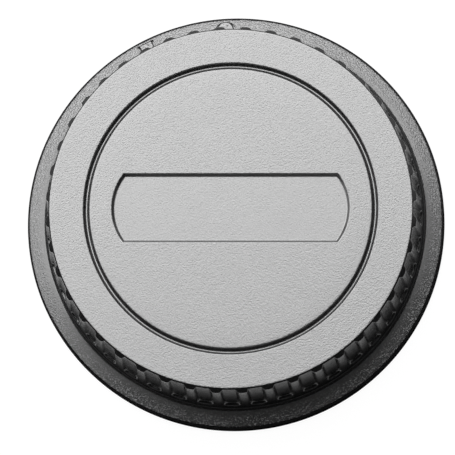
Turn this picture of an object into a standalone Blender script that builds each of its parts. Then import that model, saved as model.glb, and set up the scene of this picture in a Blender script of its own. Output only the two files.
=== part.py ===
"""Rear lens cap: one moulded cap with a knurled grip, a turned flange and a bayonet inside.

Metres, +Z up. The origin is the centre of the cap's foot, on its own axis. The flat face
with the long recessed panel is on top, and the open side, which takes the back of a lens,
faces down. The long side of the panel lies along X.
"""

import math

import bmesh
import bpy

# Overall
CAP_HEIGHT = 0.0163
TURN_STEPS_PER_LOBE = 3

# Flat top face, with the edge that runs round it
FACE_RADIUS = 0.02885
TOP_THICKNESS = 0.0020

# Ring groove in the top face
FACE_BORDER = 0.00537
GROOVE_WIDTH = 0.00103
GROOVE_FLOOR_WIDTH = 0.00022
GROOVE_DEPTH = 0.0010

# Long recessed panel inside the ring groove, with bowed ends
PANEL_END_MARGIN = 0.00348
PANEL_WIDTH = 0.0111
PANEL_END_BOW = 0.0019
PANEL_DEPTH = 0.0005
PANEL_WALL_RUN = 0.0004
PANEL_ARC_STEPS = 8

# Grip: lobes with a sloping shoulder, and a pocket between each two
LOBE_COUNT = 44
GRIP_DRAFT = math.radians(4.6)
SHOULDER_DROP = 0.0010
SHOULDER_RUN = 0.00072
SHOULDER_ROUND = 0.0003
POCKET_DEPTH = 0.0005
POCKET_BACK_WIDTH = 0.00200
POCKET_MOUTH_WIDTH = 0.00290
POCKET_CORNER_RADIUS = 0.0006
POCKET_FLOOR_RISE = 0.0018
POCKET_CORNER_STEPS = 3

# Flange: a cone that falls from the grip's foot to the rim
FLANGE_WIDTH = 0.00325
FLANGE_SLOPE = math.radians(29.0)
FOOT_FILLET = 0.0006
RIM_HEIGHT = 0.0022
RIM_ROUND = 0.0005
RIM_FOOT_ROUND = 0.0002

# Seat for the back of the lens, inside the rim's lip
LIP_WIDTH = 0.00095
SEAT_DEPTH = 0.0010

# Cavity
WALL_THICKNESS = 0.0018
CAVITY_DRAFT = math.radians(1.2)
CAVITY_FILLET = 0.0012
MOUTH_CHAMFER = 0.00025

# Bayonet tabs round the cavity's mouth
TAB_COUNT = 3
TAB_SPAN = math.radians(48.0)
TAB_REACH = 0.0016
TAB_THICKNESS = 0.00125
TAB_SET_BACK = 0.0002
TAB_ROOT = 0.0008
TAB_STEPS = 12
TAB_FIRST_ANGLE = math.radians(30.0)
RAMP_SPAN = math.radians(12.0)
RAMP_DROP = 0.0006
STOP_SPAN = math.radians(4.0)
STOP_INSET = math.radians(2.0)
STOP_REACH = 0.0012
STOP_RISE = 0.0014
STOP_STEPS = 2

# Index marks: two low pads on the flange, one round and one square
MARK_RIM_MARGIN = 0.0004
MARK_RISE = 0.0008
MARK_EDGE = 0.0002
ROUND_MARK_DIAMETER = 0.0026
ROUND_MARK_SEGMENTS = 28
ROUND_MARK_ANGLE = math.radians(93.3)
SQUARE_MARK_SIDE = 0.00215
SQUARE_MARK_ANGLE = math.radians(117.0)

# How far a cutter runs past the face that it cuts
OVERRUN = 0.0010
MERGE_DISTANCE = 0.00001

# Worked out from the sizes above
TURN_STEPS = TURN_STEPS_PER_LOBE * LOBE_COUNT
LOBE_PITCH = 2.0 * math.pi / LOBE_COUNT
SHOULDER_RADIUS = FACE_RADIUS + SHOULDER_RUN
SHOULDER_Z = CAP_HEIGHT - SHOULDER_DROP


def grip_foot():
    """Return the radius and height where the grip's drafted wall meets the flange's cone."""
    draft = math.tan(GRIP_DRAFT)
    slope = math.tan(FLANGE_SLOPE)
    foot_z = RIM_HEIGHT + FLANGE_WIDTH * slope
    foot_radius = SHOULDER_RADIUS + (SHOULDER_Z - foot_z) * draft
    return foot_radius, foot_z


FOOT_RADIUS, FOOT_Z = grip_foot()
RIM_RADIUS = FOOT_RADIUS + FLANGE_WIDTH
SEAT_RADIUS = RIM_RADIUS - LIP_WIDTH
CEILING_Z = CAP_HEIGHT - TOP_THICKNESS
CEILING_RADIUS = FACE_RADIUS - WALL_THICKNESS
CAVITY_RADIUS = CEILING_RADIUS + (CEILING_Z - SEAT_DEPTH) * math.tan(CAVITY_DRAFT)
GROOVE_OUTER_RADIUS = FACE_RADIUS - FACE_BORDER
GROOVE_INNER_RADIUS = GROOVE_OUTER_RADIUS - GROOVE_WIDTH
PANEL_HALF_LENGTH = GROOVE_INNER_RADIUS - PANEL_END_MARGIN
TAB_TOP_Z = SEAT_DEPTH + TAB_SET_BACK + TAB_THICKNESS
MARK_OUTER_RADIUS = RIM_RADIUS - RIM_ROUND - MARK_RIM_MARGIN
MARK_TOP_Z = RIM_HEIGHT + (RIM_RADIUS - MARK_OUTER_RADIUS) * math.tan(FLANGE_SLOPE) + MARK_RISE
MARK_ROOT_Z = 0.5 * (SEAT_DEPTH + RIM_HEIGHT)


def clear_scene():
    """Remove every object that is in the scene."""
    for obj in list(bpy.data.objects):
        bpy.data.objects.remove(obj, do_unlink=True)


def new_collection(name):
    """Return a new collection of that name, linked to the scene."""
    collection = bpy.data.collections.new(name)
    bpy.context.scene.collection.children.link(collection)
    return collection


def moulded_plastic():
    """Return the cap's own material: black plastic with a satin skin."""
    material = bpy.data.materials.new("black_satin_plastic")
    material.use_nodes = True
    shader = material.node_tree.nodes["Principled BSDF"]
    shader.inputs["Base Color"].default_value = (0.045, 0.045, 0.047, 1.0)
    shader.inputs["Roughness"].default_value = 0.42
    shader.inputs["Metallic"].default_value = 0.0
    return material


def object_from(bm, name, collection):
    """Make an object from bm, with its faces pointing out, and put it in collection."""
    bmesh.ops.recalc_face_normals(bm, faces=bm.faces)
    mesh = bpy.data.meshes.new(name)
    bm.to_mesh(mesh)
    bm.free()
    obj = bpy.data.objects.new(name, mesh)
    collection.objects.link(obj)
    return obj


def as_tool(obj):
    """Show obj as a wire only, because it shapes another object."""
    obj.display_type = "WIRE"
    obj.hide_render = True
    return obj


def boolean(target, tool, operation):
    """Add an exact Boolean modifier that joins tool to target or cuts it out."""
    modifier = target.modifiers.new(tool.name, "BOOLEAN")
    modifier.object = tool
    modifier.operation = operation
    modifier.solver = "EXACT"


def rounded_corner(before, corner, after, radius, steps):
    """Return the points of an arc of that radius that rounds a corner of an outline."""
    in_x, in_y = before[0] - corner[0], before[1] - corner[1]
    out_x, out_y = after[0] - corner[0], after[1] - corner[1]
    in_length = math.hypot(in_x, in_y)
    out_length = math.hypot(out_x, out_y)
    in_x, in_y = in_x / in_length, in_y / in_length
    out_x, out_y = out_x / out_length, out_y / out_length
    half_angle = 0.5 * math.acos(in_x * out_x + in_y * out_y)
    longest = 0.45 * min(in_length, out_length)
    tangent = min(radius / math.tan(half_angle), longest)
    radius = tangent * math.tan(half_angle)
    middle_x, middle_y = in_x + out_x, in_y + out_y
    middle_length = math.hypot(middle_x, middle_y)
    to_centre = radius / math.sin(half_angle) / middle_length
    centre = (corner[0] + middle_x * to_centre, corner[1] + middle_y * to_centre)
    start = math.atan2(corner[1] + in_y * tangent - centre[1], corner[0] + in_x * tangent - centre[0])
    end = math.atan2(corner[1] + out_y * tangent - centre[1], corner[0] + out_x * tangent - centre[0])
    sweep = (end - start + math.pi) % (2.0 * math.pi) - math.pi
    points = []
    for step in range(steps + 1):
        angle = start + sweep * step / steps
        points.append((centre[0] + radius * math.cos(angle), centre[1] + radius * math.sin(angle)))
    return points


def rounded_outline(corners):
    """Return an open outline with rounded corners, from (x, y, radius, steps) for each corner."""
    points = []
    for index, (x, y, radius, steps) in enumerate(corners):
        if radius == 0.0:
            points.append((x, y))
            continue
        before = corners[index - 1]
        after = corners[index + 1]
        points.extend(rounded_corner(before, (x, y), after, radius, steps))
    return points


def cap_section():
    """Return the cap's section as (radius, height), over the top, down the outside, back inside."""
    groove_side = 0.5 * (GROOVE_WIDTH - GROOVE_FLOOR_WIDTH)
    groove_z = CAP_HEIGHT - GROOVE_DEPTH
    corners = [
        (0.0, CAP_HEIGHT, 0.0, 0),
        (GROOVE_INNER_RADIUS, CAP_HEIGHT, 0.0, 0),
        (GROOVE_INNER_RADIUS + groove_side, groove_z, 0.0, 0),
        (GROOVE_OUTER_RADIUS - groove_side, groove_z, 0.0, 0),
        (GROOVE_OUTER_RADIUS, CAP_HEIGHT, 0.0, 0),
        (FACE_RADIUS, CAP_HEIGHT, 0.0, 0),
        (SHOULDER_RADIUS, SHOULDER_Z, SHOULDER_ROUND, 2),
        (FOOT_RADIUS, FOOT_Z, FOOT_FILLET, 3),
        (RIM_RADIUS, RIM_HEIGHT, RIM_ROUND, 3),
        (RIM_RADIUS, 0.0, RIM_FOOT_ROUND, 1),
        (SEAT_RADIUS, 0.0, 0.0, 0),
        (SEAT_RADIUS, SEAT_DEPTH, 0.0, 0),
        (CAVITY_RADIUS, SEAT_DEPTH, MOUTH_CHAMFER, 1),
        (CEILING_RADIUS, CEILING_Z, CAVITY_FILLET, 3),
        (0.0, CEILING_Z, 0.0, 0),
    ]
    return rounded_outline(corners)


def turned_body(collection):
    """Return the cap without its pockets, panel, tabs and marks, turned from its section."""
    bm = bmesh.new()
    vertices = [bm.verts.new((radius, 0.0, z)) for radius, z in cap_section()]
    for first, second in zip(vertices, vertices[1:]):
        bm.edges.new((first, second))
    mesh = bpy.data.meshes.new("cap_body")
    bm.to_mesh(mesh)
    bm.free()
    body = bpy.data.objects.new("cap_body", mesh)
    collection.objects.link(body)
    screw = body.modifiers.new("turned", "SCREW")
    screw.axis = "Z"
    screw.angle = 2.0 * math.pi
    screw.steps = TURN_STEPS
    screw.render_steps = TURN_STEPS
    screw.use_merge_vertices = True
    screw.merge_threshold = MERGE_DISTANCE
    return body


def extruded(bm, face, offset):
    """Extrude face by offset and return the face at the far end."""
    made = bmesh.ops.extrude_face_region(bm, geom=[face])
    moved = [item for item in made["geom"] if isinstance(item, bmesh.types.BMVert)]
    bmesh.ops.translate(bm, verts=moved, vec=offset)
    return next(item for item in made["geom"] if isinstance(item, bmesh.types.BMFace))


def pocket_outline():
    """Return a pocket's back as (across, height), open at the top, with rounded lower corners."""
    half = 0.5 * POCKET_BACK_WIDTH
    floor_z = FOOT_Z + POCKET_FLOOR_RISE
    top_z = CAP_HEIGHT + OVERRUN
    corners = [
        (-half, top_z, 0.0, 0),
        (-half, floor_z, POCKET_CORNER_RADIUS, POCKET_CORNER_STEPS),
        (half, floor_z, POCKET_CORNER_RADIUS, POCKET_CORNER_STEPS),
        (half, top_z, 0.0, 0),
    ]
    return rounded_outline(corners)


def pocket_cutters(collection):
    """Return one mesh with a cutter for every pocket of the grip, flared towards its mouth."""
    bm = bmesh.new()
    draft = math.tan(GRIP_DRAFT)
    back_radius = SHOULDER_RADIUS - POCKET_DEPTH
    back = []
    for across, z in pocket_outline():
        back.append(bm.verts.new((back_radius + (SHOULDER_Z - z) * draft, across, z)))
    reach = POCKET_DEPTH + OVERRUN
    mouth = extruded(bm, bm.faces.new(back), (reach, 0.0, 0.0))
    flare = 1.0 + (POCKET_MOUTH_WIDTH / POCKET_BACK_WIDTH - 1.0) * reach / POCKET_DEPTH
    bmesh.ops.scale(bm, verts=mouth.verts, vec=(1.0, flare, 1.0))
    bmesh.ops.spin(
        bm,
        geom=bm.verts[:] + bm.edges[:] + bm.faces[:],
        axis=(0.0, 0.0, 1.0),
        angle=LOBE_PITCH * (LOBE_COUNT - 1),
        steps=LOBE_COUNT - 1,
        use_duplicate=True,
    )
    return as_tool(object_from(bm, "grip_pockets", collection))


def panel_outline():
    """Return the rim of the recessed panel as (x, y): straight long sides and bowed ends."""
    half_width = 0.5 * PANEL_WIDTH
    radius = (half_width ** 2 + PANEL_END_BOW ** 2) / (2.0 * PANEL_END_BOW)
    half_sweep = math.asin(half_width / radius)
    points = []
    for side in (1.0, -1.0):
        for step in range(PANEL_ARC_STEPS + 1):
            angle = half_sweep * (2.0 * step / PANEL_ARC_STEPS - 1.0)
            x = PANEL_HALF_LENGTH - radius + radius * math.cos(angle)
            points.append((side * x, side * radius * math.sin(angle)))
    return points


def panel_cutter(collection):
    """Return the cutter of the recessed panel, with walls that slope in to its floor."""
    bm = bmesh.new()
    top_z = CAP_HEIGHT + OVERRUN
    rim = bm.faces.new([bm.verts.new((x, y, top_z)) for x, y in panel_outline()])
    lower = extruded(bm, rim, (0.0, 0.0, -OVERRUN))
    bmesh.ops.recalc_face_normals(bm, faces=bm.faces)
    bmesh.ops.inset_region(bm, faces=[lower], thickness=PANEL_WALL_RUN, depth=PANEL_DEPTH)
    return as_tool(object_from(bm, "panel_recess", collection))


def ring_sector(bm, inner, outer, low, high, start, span, steps):
    """Make a curved block between two radii, two heights and two angles."""
    angles = [start + span * step / steps for step in range(steps + 1)]
    outline = [(outer * math.cos(angle), outer * math.sin(angle)) for angle in angles]
    outline += [(inner * math.cos(angle), inner * math.sin(angle)) for angle in reversed(angles)]
    foot = bm.faces.new([bm.verts.new((x, y, low)) for x, y in outline])
    extruded(bm, foot, (0.0, 0.0, high - low))


def bayonet_tab(index, collection):
    """Return one bayonet tab: a curved ledge that thins to a lead-in ramp at one end."""
    bm = bmesh.new()
    start = TAB_FIRST_ANGLE + index * 2.0 * math.pi / TAB_COUNT
    low = SEAT_DEPTH + TAB_SET_BACK
    inner = CAVITY_RADIUS - TAB_REACH
    outer = CAVITY_RADIUS + TAB_ROOT
    ring_sector(bm, inner, outer, low, TAB_TOP_Z, start, TAB_SPAN, TAB_STEPS)
    for vertex in bm.verts:
        if vertex.co.z > 0.5 * (low + TAB_TOP_Z):
            middle = start + 0.5 * TAB_SPAN
            from_middle = math.remainder(math.atan2(vertex.co.y, vertex.co.x) - middle, 2.0 * math.pi)
            along = from_middle + 0.5 * TAB_SPAN
            vertex.co.z -= RAMP_DROP * max(0.0, 1.0 - along / RAMP_SPAN)
    return as_tool(object_from(bm, "bayonet_tab_%d" % (index + 1), collection))


def bayonet_stop(index, collection):
    """Return the stop that stands near a tab's far end and ends the cap's turn."""
    bm = bmesh.new()
    tab_end = TAB_FIRST_ANGLE + index * 2.0 * math.pi / TAB_COUNT + TAB_SPAN
    start = tab_end - STOP_INSET - STOP_SPAN
    low = TAB_TOP_Z - 0.5 * TAB_THICKNESS
    inner = CAVITY_RADIUS - STOP_REACH
    outer = CAVITY_RADIUS + TAB_ROOT
    ring_sector(bm, inner, outer, low, TAB_TOP_Z + STOP_RISE, start, STOP_SPAN, STOP_STEPS)
    return as_tool(object_from(bm, "bayonet_stop_%d" % (index + 1), collection))


def edge_bevel(obj):
    """Bevel the edges round the upper end of an index mark's pad."""
    bevel = obj.modifiers.new("edge", "BEVEL")
    bevel.width = MARK_EDGE
    bevel.segments = 1
    bevel.limit_method = "ANGLE"
    bevel.angle_limit = math.radians(60.0)


def place_mark(obj, half_size, angle):
    """Set an index mark on the flange at that angle, just inside the rim's rounded edge."""
    radius = MARK_OUTER_RADIUS - half_size
    obj.location = (radius * math.cos(angle), radius * math.sin(angle), MARK_TOP_Z)
    obj.rotation_euler = (0.0, 0.0, angle)


def round_mark(collection):
    """Return the round index mark, a low disc whose top is at the origin of its object."""
    bm = bmesh.new()
    depth = MARK_TOP_Z - MARK_ROOT_Z
    bmesh.ops.create_cone(
        bm,
        cap_ends=True,
        segments=ROUND_MARK_SEGMENTS,
        radius1=0.5 * ROUND_MARK_DIAMETER,
        radius2=0.5 * ROUND_MARK_DIAMETER,
        depth=depth,
    )
    bmesh.ops.translate(bm, verts=bm.verts, vec=(0.0, 0.0, -0.5 * depth))
    mark = as_tool(object_from(bm, "round_index_mark", collection))
    edge_bevel(mark)
    place_mark(mark, 0.5 * ROUND_MARK_DIAMETER, ROUND_MARK_ANGLE)
    return mark


def square_mark(collection):
    """Return the square index mark, a low block whose top is at the origin of its object."""
    bm = bmesh.new()
    depth = MARK_TOP_Z - MARK_ROOT_Z
    bmesh.ops.create_cube(bm, size=1.0)
    bmesh.ops.scale(bm, verts=bm.verts, vec=(SQUARE_MARK_SIDE, SQUARE_MARK_SIDE, depth))
    bmesh.ops.translate(bm, verts=bm.verts, vec=(0.0, 0.0, -0.5 * depth))
    mark = as_tool(object_from(bm, "square_index_mark", collection))
    edge_bevel(mark)
    place_mark(mark, 0.5 * SQUARE_MARK_SIDE, SQUARE_MARK_ANGLE)
    return mark


def main():
    """Build the cap: turn it, join its tabs and marks, and cut its panel and pockets."""
    clear_scene()
    parts = new_collection("rear_lens_cap")
    tools = new_collection("rear_lens_cap_cutters")
    body = turned_body(parts)
    for index in range(TAB_COUNT):
        boolean(body, bayonet_tab(index, tools), "UNION")
        boolean(body, bayonet_stop(index, tools), "UNION")
    boolean(body, round_mark(tools), "UNION")
    boolean(body, square_mark(tools), "UNION")
    boolean(body, panel_cutter(tools), "DIFFERENCE")
    boolean(body, pocket_cutters(tools), "DIFFERENCE")
    body.data.materials.append(moulded_plastic())
    body.data.shade_smooth()
    body.data.set_sharp_from_angle(angle=math.radians(25.0))


main()
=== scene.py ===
"""Rear lens cap: the moulded cap in full detail, in black satin plastic, in a plain white studio.

Metres, in the frame of the CAD model: +Z out of the flat face, X along the recessed panel,
the index marks towards +Y. One finished piece, cap_moulding, stands for the one CAD node.
"""

import logging
import math
from collections.abc import Callable
from dataclasses import dataclass, field
from enum import Enum

import bmesh
import bpy
from mathutils import Matrix, Vector


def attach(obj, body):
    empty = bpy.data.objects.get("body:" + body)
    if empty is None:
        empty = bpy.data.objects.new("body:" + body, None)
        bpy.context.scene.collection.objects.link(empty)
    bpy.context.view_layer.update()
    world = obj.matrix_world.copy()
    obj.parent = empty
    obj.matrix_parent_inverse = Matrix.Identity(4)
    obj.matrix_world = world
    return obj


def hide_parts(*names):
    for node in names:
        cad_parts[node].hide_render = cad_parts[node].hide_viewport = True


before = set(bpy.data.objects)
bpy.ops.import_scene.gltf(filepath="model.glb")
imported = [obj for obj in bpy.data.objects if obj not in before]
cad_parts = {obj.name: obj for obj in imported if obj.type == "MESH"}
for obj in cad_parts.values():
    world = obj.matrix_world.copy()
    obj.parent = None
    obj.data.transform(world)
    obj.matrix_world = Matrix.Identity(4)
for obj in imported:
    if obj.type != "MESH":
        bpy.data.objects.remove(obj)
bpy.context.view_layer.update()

LOG = logging.getLogger("rear_lens_cap")

Point = tuple[float, float]
Corner = tuple[float, float, float, int]
Place = tuple[float, float, float]
Colour = tuple[float, float, float, float]
Value = bpy.types.NodeSocket | float | tuple[float, ...]

MERGE_DISTANCE = 1.0e-7
LOOP_REACH = 2.0e-5
SEED_SIZE = 0.001
PLAIN_SHARE = 0.90
ROUNDED_SHARE = 0.45
FULL_TURN = 2.0 * math.pi
ORIGIN = (0.0, 0.0, 0.0)
WHITE = (1.0, 1.0, 1.0, 1.0)
WHOLE = (0.0, 1.0)
SQUARE_SIDES = 4


class Side(Enum):
    """The two edges of a band that another band is joined to."""

    INNER = "inner"
    OUTER = "outer"


class Picked(Enum):
    """What is picked in edit mode."""

    POINTS = "VERT"
    EDGES = "EDGE"


class Joining(Enum):
    """What a closed mesh does to the cap."""

    ADDED = "UNION"
    CUT_OUT = "DIFFERENCE"


class MarkEdges(Enum):
    """The edges of an index mark that are rounded together."""

    TOP = "top"
    UPRIGHT = "upright"


@dataclass(frozen=True)
class CapSizes:
    """The cap's driving sizes: the CAD model's, with the grip's pockets and the roundings made finer."""

    # the whole cap
    height: float = 0.0163
    face_radius: float = 0.02885
    face_edge_round: float = 0.00010
    top_thickness: float = 0.0020

    # the flat face and its ring groove
    face_border: float = 0.00537
    groove_width: float = 0.00103
    groove_inner_run: float = 0.00048
    groove_floor_width: float = 0.00014
    groove_depth: float = 0.0010
    groove_edge_round: float = 0.00018
    groove_floor_round: float = 0.00004
    disc_fall: float = 0.000022
    disc_fall_width: float = 0.0031

    # the recessed panel
    panel_end_margin: float = 0.00348
    panel_width: float = 0.0111
    panel_end_bow: float = 0.0019
    panel_depth: float = 0.0005
    panel_wall_run: float = 0.0004
    panel_round: float = 0.00020

    # the grip
    lobe_count: int = 44
    grip_draft: float = math.radians(4.6)
    shoulder_drop: float = 0.0010
    shoulder_run: float = 0.00072
    shoulder_round: float = 0.00030
    lobe_crown: float = 0.00005
    pocket_depth: float = 0.00045
    pocket_back_width: float = 0.00200
    pocket_mouth_width: float = 0.00290
    pocket_corner_radius: float = 0.0006
    pocket_floor_rise: float = 0.00215
    pocket_floor_run: float = 0.00034

    # the flange and the rim
    flange_width: float = 0.00325
    flange_slope: float = math.radians(29.0)
    foot_round: float = 0.00100
    rim_height: float = 0.0022
    rim_round: float = 0.0011
    rim_foot_round: float = 0.0002

    # the lens seat
    lip_width: float = 0.00095
    seat_depth: float = 0.0010
    seat_round: float = 0.00015

    # the cavity
    wall_thickness: float = 0.0018
    cavity_draft: float = math.radians(1.2)
    cavity_fillet: float = 0.0012
    mouth_round: float = 0.00025

    # the bayonet tabs
    tab_count: int = 3
    tab_span: float = math.radians(48.0)
    tab_reach: float = 0.0016
    tab_thickness: float = 0.00125
    tab_set_back: float = 0.0002
    tab_root: float = 0.0008
    tab_first_angle: float = math.radians(30.0)
    tab_round: float = 0.00018
    ramp_span: float = math.radians(12.0)
    ramp_drop: float = 0.0006
    stop_span: float = math.radians(4.0)
    stop_inset: float = math.radians(2.0)
    stop_reach: float = 0.0012
    stop_rise: float = 0.0014

    # the index marks
    mark_edge_margin: float = 0.0009
    mark_rise: float = 0.0008
    mark_edge: float = 0.00006
    mark_corner: float = 0.00010
    mark_draft: float = 0.00040
    mark_top_inset: float = 0.00011
    mark_moat_width: float = 0.00038
    mark_moat_depth: float = 0.00028
    mark_dot_radius: float = 0.00015
    mark_dot_depth: float = 0.00011
    mark_dot_out: float = 0.00062
    mark_dot_aside: float = 0.00030
    round_mark_diameter: float = 0.0026
    round_mark_angle: float = math.radians(93.3)
    square_mark_side: float = 0.00215
    square_mark_angle: float = math.radians(117.0)

    @property
    def lobe_pitch(self) -> float:
        """Angle from one pocket of the grip to the next."""
        return FULL_TURN / self.lobe_count

    @property
    def shoulder_radius(self) -> float:
        """Radius of the lobes just under their sloping shoulder."""
        return self.face_radius + self.shoulder_run

    @property
    def shoulder_z(self) -> float:
        """Height of the lower edge of the lobes' shoulder."""
        return self.height - self.shoulder_drop

    @property
    def foot_z(self) -> float:
        """Height where the grip's wall would meet the flange."""
        return self.rim_height + self.flange_width * math.tan(self.flange_slope)

    @property
    def foot_radius(self) -> float:
        """Radius where the grip's wall would meet the flange."""
        return self.shoulder_radius + (self.shoulder_z - self.foot_z) * math.tan(self.grip_draft)

    @property
    def foot_tangent(self) -> float:
        """How far the rounded foot reaches up the grip's wall and out over the flange."""
        return self.foot_round * math.tan(0.5 * (0.5 * math.pi - self.grip_draft - self.flange_slope))

    @property
    def rim_radius(self) -> float:
        """Radius of the rim's upright band."""
        return self.foot_radius + self.flange_width

    @property
    def seat_radius(self) -> float:
        """Radius of the low lip's inner side, round the seat."""
        return self.rim_radius - self.lip_width

    @property
    def ceiling_z(self) -> float:
        """Height of the cavity's ceiling."""
        return self.height - self.top_thickness

    @property
    def ceiling_radius(self) -> float:
        """Radius of the cavity at its ceiling."""
        return self.face_radius - self.wall_thickness

    @property
    def cavity_radius(self) -> float:
        """Radius of the cavity at its mouth."""
        depth = self.ceiling_z - self.seat_depth
        return self.ceiling_radius + depth * math.tan(self.cavity_draft)

    @property
    def groove_outer_radius(self) -> float:
        """Outer radius of the ring groove."""
        return self.face_radius - self.face_border

    @property
    def groove_inner_radius(self) -> float:
        """Inner radius of the ring groove."""
        return self.groove_outer_radius - self.groove_width

    @property
    def panel_half_length(self) -> float:
        """Half of the panel's length, over its bowed ends."""
        return self.groove_inner_radius - self.panel_end_margin

    @property
    def tab_bottom_z(self) -> float:
        """Height of the tabs' outer face, a little inside the seat."""
        return self.seat_depth + self.tab_set_back

    @property
    def tab_top_z(self) -> float:
        """Height of the tabs' inner face, which the lens's own bayonet slides over."""
        return self.tab_bottom_z + self.tab_thickness

    @property
    def mark_outer_radius(self) -> float:
        """Radius that the outer edge of each index mark reaches."""
        return self.rim_radius - self.mark_edge_margin

    @property
    def mark_top_z(self) -> float:
        """Height of the index marks' flat tops."""
        run = self.rim_radius - self.mark_outer_radius
        return self.rim_height + run * math.tan(self.flange_slope) + self.mark_rise

    @property
    def mark_root_z(self) -> float:
        """Height that the index marks reach down to inside the flange."""
        return 0.5 * (self.seat_depth + self.rim_height)


def rounded_corner(before: Point, corner: Point, after: Point, radius: float, steps: int,
                   longest: float) -> list[Point]:
    """Round one corner of an outline with an arc.

    Args:
        before: The outline's point before the corner.
        corner: The sharp corner.
        after: The outline's point after the corner.
        radius: The arc's radius, cut down where the sides are too short for it.
        steps: How many straight pieces the arc has.
        longest: How much of each side the arc may take.

    Returns:
        The arc's points, in the outline's direction.
    """
    here = Vector(corner)
    towards_before = (Vector(before) - here).normalized()
    towards_after = (Vector(after) - here).normalized()
    half_angle = 0.5 * towards_before.angle(towards_after)
    tangent = min(radius / math.tan(half_angle), longest)
    radius = tangent * math.tan(half_angle)
    middle = (towards_before + towards_after).normalized()
    centre = here + middle * (radius / math.sin(half_angle))
    first = here + towards_before * tangent - centre
    last = here + towards_after * tangent - centre
    start = math.atan2(first.y, first.x)
    sweep = math.remainder(math.atan2(last.y, last.x) - start, FULL_TURN)
    angles = [start + sweep * step / steps for step in range(steps + 1)]
    return [(centre.x + radius * math.cos(a), centre.y + radius * math.sin(a)) for a in angles]


def rounded_outline(corners: list[Corner]) -> list[Point]:
    """Round an open outline.

    Args:
        corners: For each corner its two coordinates, the radius of its rounding and the arc's steps.

    Returns:
        The outline's points.
    """
    points: list[Point] = []
    for index, (x, y, radius, steps) in enumerate(corners):
        if steps == 0:
            points.append((x, y))
            continue
        before = corners[index - 1]
        after = corners[index + 1]
        free = [math.dist((x, y), side[:2]) * (PLAIN_SHARE if side[3] == 0 else ROUNDED_SHARE)
                for side in (before, after)]
        points.extend(rounded_corner(before[:2], (x, y), after[:2], radius, steps, min(free)))
    return points


def smooth_minimum(first: float, second: float, blend: float) -> float:
    """Return the smaller of two numbers, with a soft change over from one to the other."""
    share = min(1.0, max(0.0, 0.5 + 0.5 * (second - first) / blend))
    return second + (first - second) * share - blend * share * (1.0 - share)


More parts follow.
